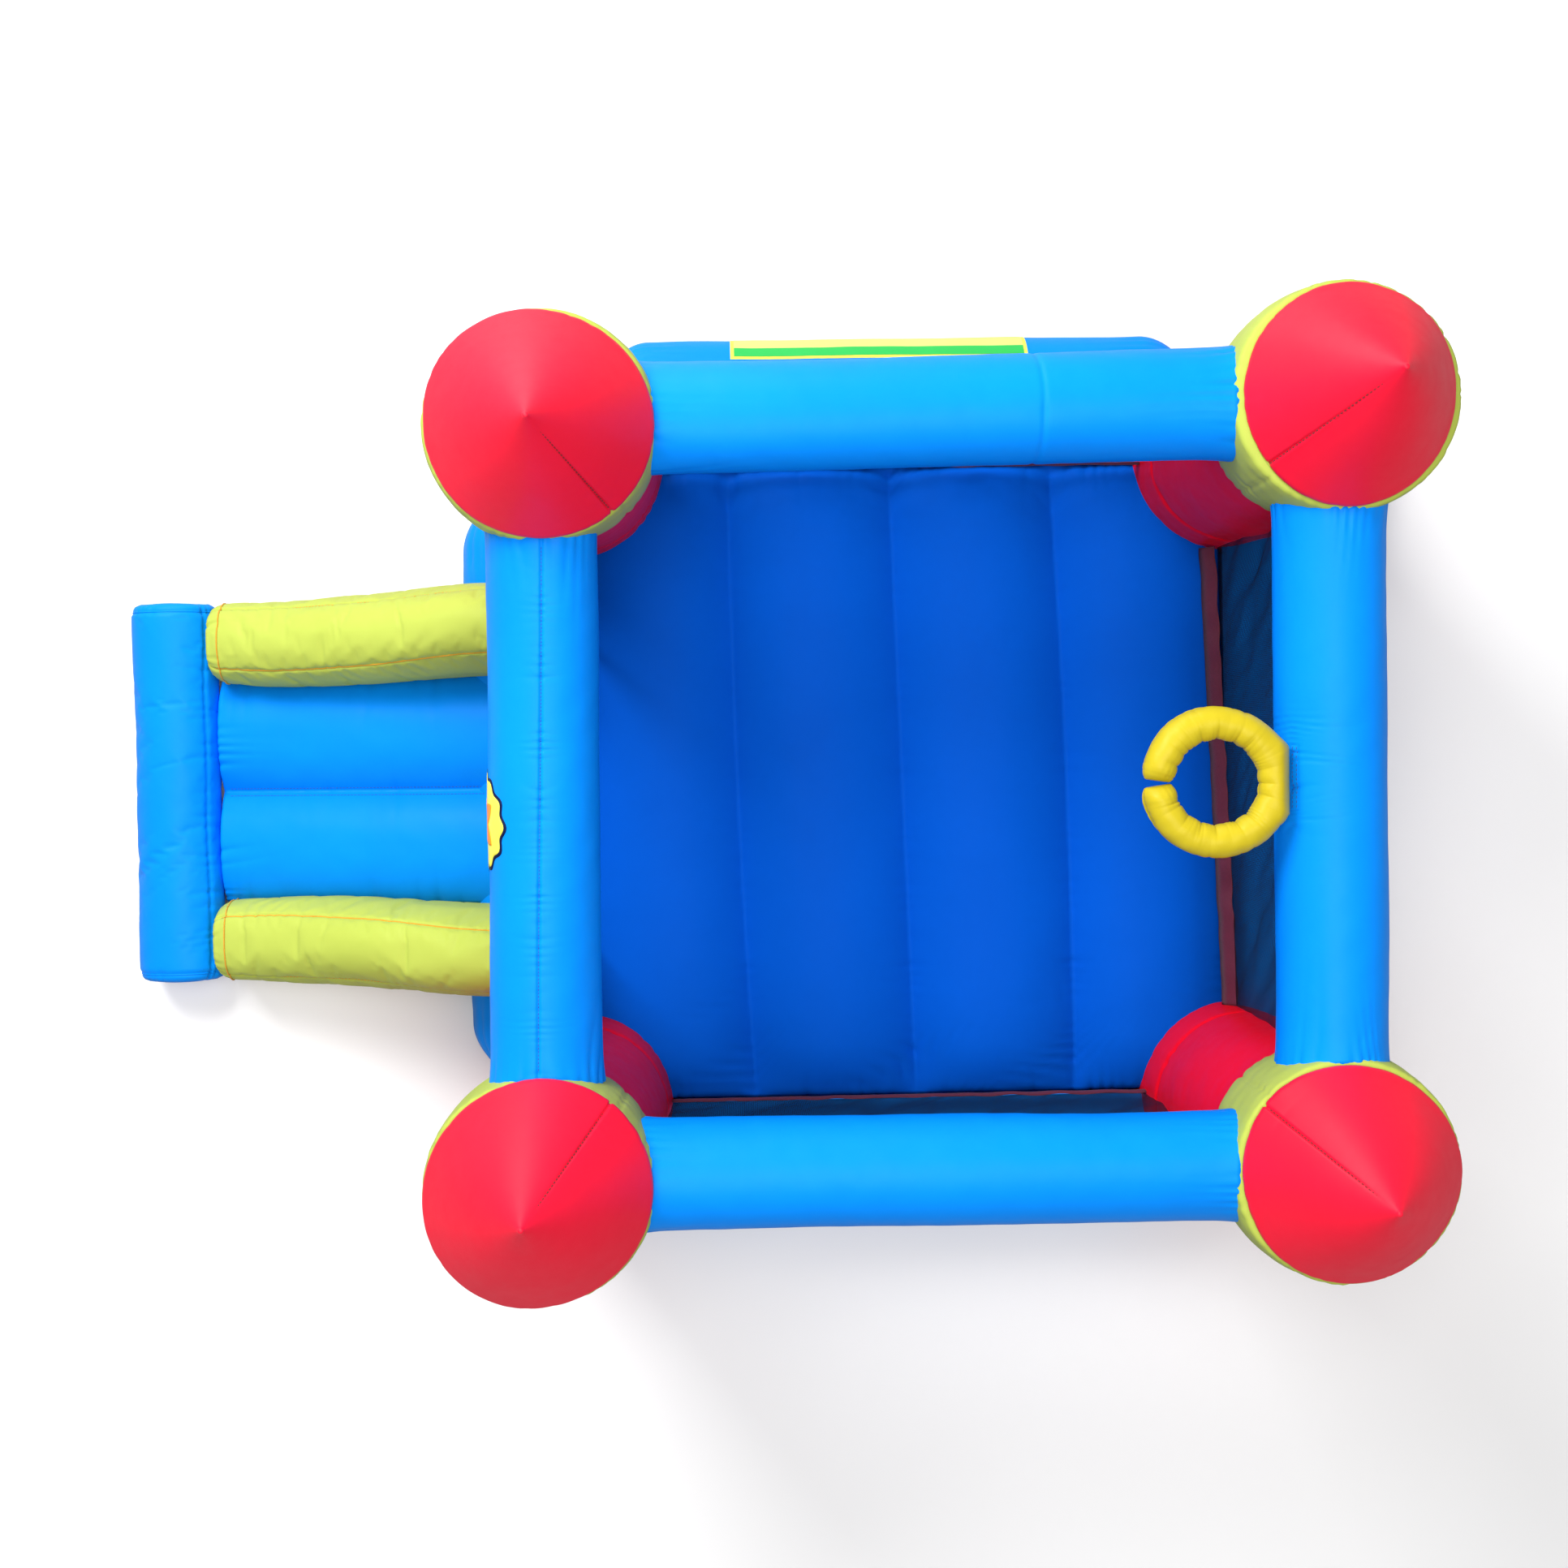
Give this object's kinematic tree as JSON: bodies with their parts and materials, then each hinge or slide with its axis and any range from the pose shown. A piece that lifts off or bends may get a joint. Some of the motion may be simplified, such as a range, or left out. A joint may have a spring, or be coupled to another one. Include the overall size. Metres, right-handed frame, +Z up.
{
  "type": "inflatable bounce house",
  "caption": "Square inflatable bounce house with pointed corner towers, netted sides, a short slide at the front, a ball hoop on the rear tube and a fan that keeps it inflated.",
  "frame": {"origin": "on the ground under the middle of the jumping floor", "axes": "+Z up, -Y towards the slide and doorway, +Y towards the hoop and the fan, -X to the left seen from the front"},
  "size_m": [2.4951, 3.6476, 1.75],
  "materials": {
    "red_fabric": "satin coated nylon",
    "lime_fabric": "satin coated nylon",
    "sky_fabric": "satin coated nylon",
    "royal_fabric": "satin coated nylon",
    "yellow_fabric": "satin coated nylon",
    "netting": "open knotless mesh",
    "maroon_tape": "woven tape",
    "patch": "sewn patch",
    "baffle": "plain uncoated web",
    "webbing": "woven webbing",
    "brass": "rolled eyelet",
    "zip_tape": "zip tape with coil",
    "zip_metal": "black lacquer",
    "fan_shell": "moulded grain",
    "fan_dark": "moulded grain",
    "fan_wheel": "moulded",
    "steel": "bright zinc",
    "motor": "semi-gloss",
    "rubber": "matt",
    "rocker": "gloss",
    "cord": "satin"
  },
  "bodies": {
    "house": {"column_front_left": "red_fabric", "collar_front_left": "lime_fabric", "cap_front_left": "red_fabric", "column_front_right": "red_fabric", "collar_front_right": "lime_fabric", "cap_front_right": "red_fabric", "column_rear_left": "red_fabric", "collar_rear_left": "lime_fabric", "cap_rear_left": "red_fabric", "column_rear_right": "red_fabric", "collar_rear_right": "lime_fabric", "cap_rear_right": "red_fabric", "tube_front": "sky_fabric", "wall_front": "sky_fabric", "tube_rear": "sky_fabric", "wall_rear": "sky_fabric", "tube_left": "sky_fabric", "wall_left": "sky_fabric", "tube_right": "sky_fabric", "wall_right": "sky_fabric", "bounce_floor": "royal_fabric", "floor_baffles": "baffle", "net_left": "netting", "net_right": "netting", "net_rear": "netting", "net_front_left": "netting", "net_front_right": "netting", "net_hems": "maroon_tape", "slide_bed": "sky_fabric", "slide_bolster_left": "lime_fabric", "slide_bolster_right": "lime_fabric", "slide_foot_tube": "sky_fabric", "hoop_tape": "sky_fabric", "sun_badge": "patch", "blank_panel": "patch", "anchor_tabs": "webbing", "anchor_eyelets": "brass", "deflation_zip": "zip_tape", "inflation_sleeve": "royal_fabric", "sleeve_strap": "webbing", "fan_casing_front": "fan_shell", "fan_casing_rear": "fan_shell", "inlet_grille_front": "fan_dark", "inlet_grille_rear": "fan_dark", "grille_screws": "steel", "fan_motor": "motor", "motor_spider": "steel", "outlet_nozzle": "fan_dark", "fan_stand": "fan_dark", "fan_feet": "rubber", "carry_handle": "fan_dark", "switch_box": "fan_dark", "power_cord": "cord", "power_plug": "cord"},
    "hoop": {"hoop_ring": "yellow_fabric"},
    "fan_rotor": {"fan_wheel": "fan_wheel", "fan_shaft": "steel"},
    "rocker": {"switch_rocker": "rocker"},
    "zip_pull": {"zip_slider": "zip_metal"}
  },
  "joints": [
    {"name": "hoop_fold", "type": "hinge", "parent": "house", "child": "hoop", "pos_m": [-0.02, 0.77787, 1.32962], "axis": [1, 0, 0], "range_deg": [-15, 40]},
    {"name": "fan_spin", "type": "hinge", "parent": "house", "child": "fan_rotor", "pos_m": [-1.16, 1.322, 0.142], "axis": [0, 1, 0], "continuous": true},
    {"name": "switch_rock", "type": "hinge", "parent": "house", "child": "rocker", "pos_m": [-1.038, 1.322, 0.1552], "axis": [0, 1, 0], "range_deg": [-8, 8]},
    {"name": "zip_run", "type": "slide", "parent": "house", "child": "zip_pull", "axis": [1, 0, 0], "range_m": [0, 0.38]}
  ]
}
